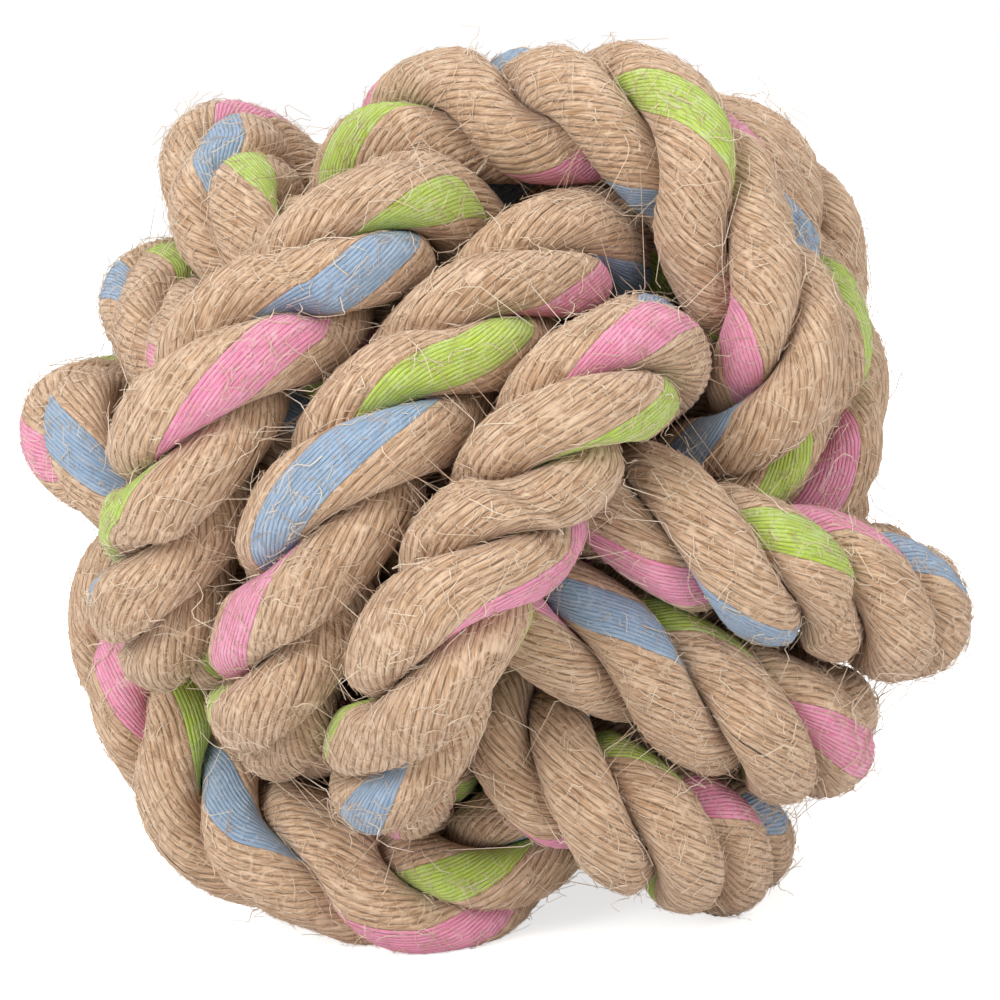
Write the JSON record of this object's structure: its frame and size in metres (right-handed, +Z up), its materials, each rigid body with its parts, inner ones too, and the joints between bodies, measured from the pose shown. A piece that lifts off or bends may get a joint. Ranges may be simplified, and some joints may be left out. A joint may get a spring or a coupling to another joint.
{
  "type": "knotted rope ball",
  "caption": "Round rope toy for a dog, tied as a monkey's fist from one length of laid hemp rope with coloured yarns among the natural ones.",
  "frame": {"origin": "middle of the ball's base, on the surface that it stands on", "axes": "+Z up; the side that the picture shows faces -Y"},
  "size_m": [0.0924, 0.0984, 0.0878],
  "materials": {
    "strand_pink": "natural hemp yarn with one bundle of pink yarn, matt and hairy",
    "strand_blue": "natural hemp yarn with one bundle of blue yarn, matt and hairy",
    "strand_green": "natural hemp yarn with one bundle of green yarn, matt and hairy",
    "whipping_twine": "undyed twine, matt"
  },
  "bodies": {
    "root": {"strand_pink": "strand_pink", "strand_blue": "strand_blue", "strand_green": "strand_green", "whipping_start": "whipping_twine", "whipping_end": "whipping_twine"}
  },
  "joints": []
}
